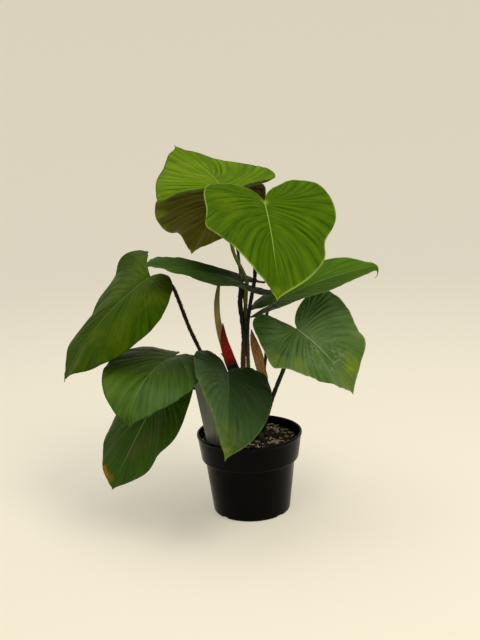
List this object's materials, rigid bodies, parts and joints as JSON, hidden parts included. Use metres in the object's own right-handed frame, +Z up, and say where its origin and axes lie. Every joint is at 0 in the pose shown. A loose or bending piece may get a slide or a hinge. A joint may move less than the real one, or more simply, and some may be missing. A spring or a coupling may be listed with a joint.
{
  "type": "potted philodendron",
  "caption": "Heart-leaved foliage plant on slender bristly stalks, rooted in potting mix in a black nursery pot that stands on its flat base, with a bare plant label.",
  "frame": {"origin": "middle of the pot's flat underside, on the surface that it stands on", "axes": "+Z up along the pot's axis, -Y to the front, towards the viewer, +X to the viewer's right"},
  "size_m": [0.4815, 0.3873, 0.553],
  "materials": {
    "pot_plastic": "black nursery-pot plastic, soft gloss",
    "potting_mix": "coarse dark potting mix of bark and perlite, matte",
    "label_plastic": "pale plastic plant label, bare, satin",
    "stem": "green-brown stem with ring scars, matte",
    "dry_root": "dry dark root, matte",
    "sheath_dry": "dry papery brown sheath with fine ribs, matte",
    "sheath_red": "thin red papery sheath, satin",
    "stalk": "dark green to maroon stalk with short bristles, satin",
    "leaf_young": "bright yellow-green leaf, velvety sheen, pleated along its veins",
    "leaf_back": "olive-brown underside with raised ribs, satin",
    "leaf_mature": "deep green leaf, satin sheen, pleated along its veins"
  },
  "bodies": {
    "root": {"pot": "pot_plastic", "soil": "potting_mix", "label": "label_plastic", "stem_main": "stem", "stem_side": "stem", "aerial_root": "dry_root", "sheath_tan": "sheath_dry", "sheath_brown": "sheath_dry", "sheath_red": "sheath_red", "stalk_top_front": "stalk", "blade_top_front": "leaf_young", "stalk_top_back": "stalk", "blade_top_back": "leaf_young", "stalk_hanging_back": "stalk", "blade_hanging_back": "leaf_back", "stalk_left_narrow": "stalk", "blade_left_narrow": "leaf_mature", "stalk_left_long": "stalk", "blade_left_long": "leaf_mature", "stalk_left_front": "stalk", "blade_left_front": "leaf_mature", "stalk_centre_front": "stalk", "blade_centre_front": "leaf_mature", "stalk_right_front": "stalk", "blade_right_front": "leaf_mature", "stalk_right_back": "stalk", "blade_right_back": "leaf_mature", "stalk_low_left": "stalk", "blade_low_left": "leaf_mature"}
  },
  "joints": []
}
